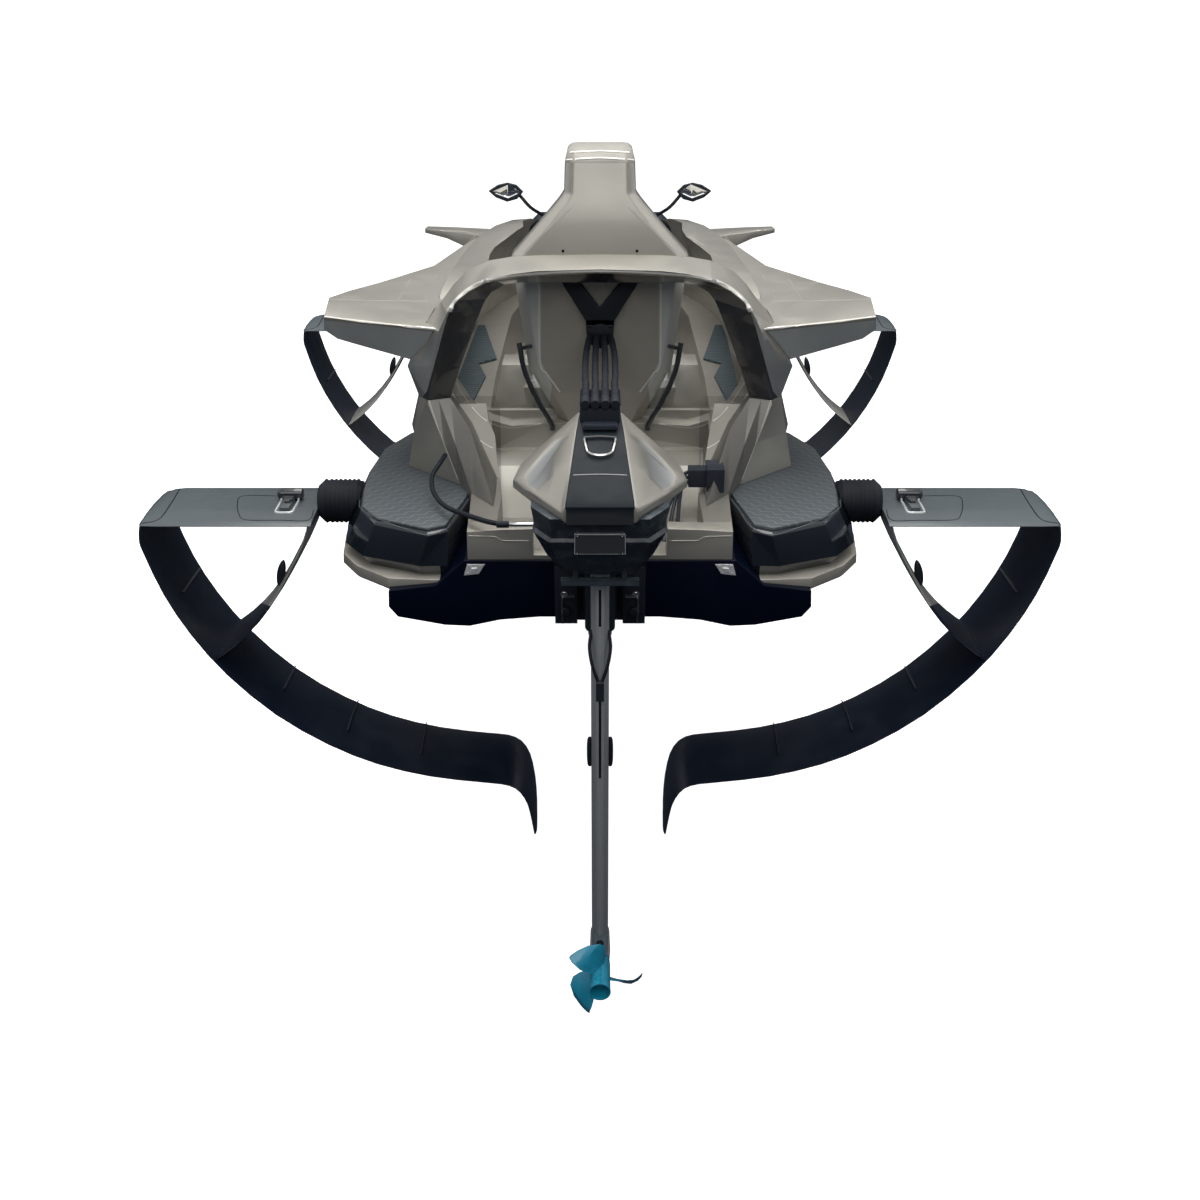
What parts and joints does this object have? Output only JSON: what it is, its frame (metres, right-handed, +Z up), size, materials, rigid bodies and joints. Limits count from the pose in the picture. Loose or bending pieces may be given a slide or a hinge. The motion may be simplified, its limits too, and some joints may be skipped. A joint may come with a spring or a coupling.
{
  "type": "electric hydrofoil boat",
  "caption": "Two-seat electric hydrofoil boat with a rear arch, swept wings, curved foils on side arms and a long-leg electric outboard.",
  "frame": {"origin": "centre of the hull on the waterline, amidships", "axes": "+Z up, +Y to the bow, +X to starboard"},
  "size_m": [2.524, 3.446, 2.16],
  "materials": {
    "taupe_paint": "satin metallic",
    "dark_hull": "gloss",
    "slate_pod": "gloss",
    "slate_panel": "satin",
    "black_plastic": "satin",
    "black_rubber": "matte",
    "foil_composite": "satin",
    "grey_alloy": "satin",
    "teal_propeller": "gloss",
    "tread_mat": "textured",
    "seat_leather": "satin"
  },
  "bodies": {
    "boat": {"bellows_front_l": "black_rubber", "bellows_front_r": "black_rubber", "bellows_rear_l": "black_rubber", "bellows_rear_r": "black_rubber", "cable_fork": "black_plastic", "charge_socket": "black_plastic", "clamp_bracket": "black_plastic", "dash": "black_plastic", "deck": "taupe_paint", "foil_arm_front_l": "foil_composite", "foil_arm_front_r": "foil_composite", "foil_arm_rear_l": "foil_composite", "foil_arm_rear_r": "foil_composite", "foil_blade_front_l": "foil_composite", "foil_blade_front_r": "foil_composite", "foil_blade_rear_l": "foil_composite", "foil_blade_rear_r": "foil_composite", "foil_strut_front_l": "foil_composite", "foil_strut_front_r": "foil_composite", "foil_strut_rear_l": "foil_composite", "foil_strut_rear_r": "foil_composite", "footwell_mat_l": "tread_mat", "footwell_mat_r": "tread_mat", "front_carrier": "slate_pod", "front_winglet_l": "taupe_paint", "front_winglet_r": "taupe_paint", "grab_bar_l": "black_plastic", "grab_bar_r": "black_plastic", "headrest_pad": "seat_leather", "lower_hull": "dark_hull", "mirror_l": "black_plastic", "mirror_r": "black_plastic", "pillar_l": "taupe_paint", "pillar_r": "taupe_paint", "pod_body_l": "slate_pod", "pod_body_r": "slate_pod", "pod_flange_l": "taupe_paint", "pod_flange_r": "taupe_paint", "power_cables": "black_rubber", "rear_arch": "taupe_paint", "rear_wing_l": "taupe_paint", "rear_wing_r": "taupe_paint", "seat_back_front": "seat_leather", "seat_base": "taupe_paint", "seat_cushion_front": "seat_leather", "seat_cushion_rear": "seat_leather", "seat_tower": "taupe_paint", "steering_cable": "black_rubber", "steering_column": "black_plastic", "step_pad_l": "slate_pod", "step_pad_r": "slate_pod"},
    "tilt": {"swivel_bracket": "black_plastic"},
    "outboard": {"motor_cowl": "taupe_paint", "motor_panel": "slate_panel", "motor_body": "black_plastic", "leg": "grey_alloy", "gearcase": "grey_alloy", "cable_plugs": "black_rubber"},
    "screw": {"propeller": "teal_propeller"},
    "helm": {"steering_wheel": "black_plastic"}
  },
  "joints": [
    {"name": "tilt", "type": "hinge", "parent": "boat", "child": "tilt", "pos_m": [0, -1.445, 0.175], "axis": [-1, 0, 0], "range_deg": [0, 60], "deforming": ["power_cables"]},
    {"name": "steer", "type": "hinge", "parent": "tilt", "child": "outboard", "pos_m": [0, -1.505, 0.05], "axis": [0, 0, 1], "range_deg": [-30, 30], "deforming": ["power_cables"]},
    {"name": "spin", "type": "hinge", "parent": "outboard", "child": "screw", "pos_m": [0, -1.62, -1.062], "axis": [0, -1, 0], "continuous": true},
    {"name": "helm", "type": "hinge", "parent": "boat", "child": "helm", "pos_m": [0, 0.56, 0.455], "axis": [0, -0.9061, 0.423], "range_deg": [-90, 90]}
  ],
  "couplings": [
    {"joint": "helm", "follows": "steer", "ratio": 3}
  ]
}
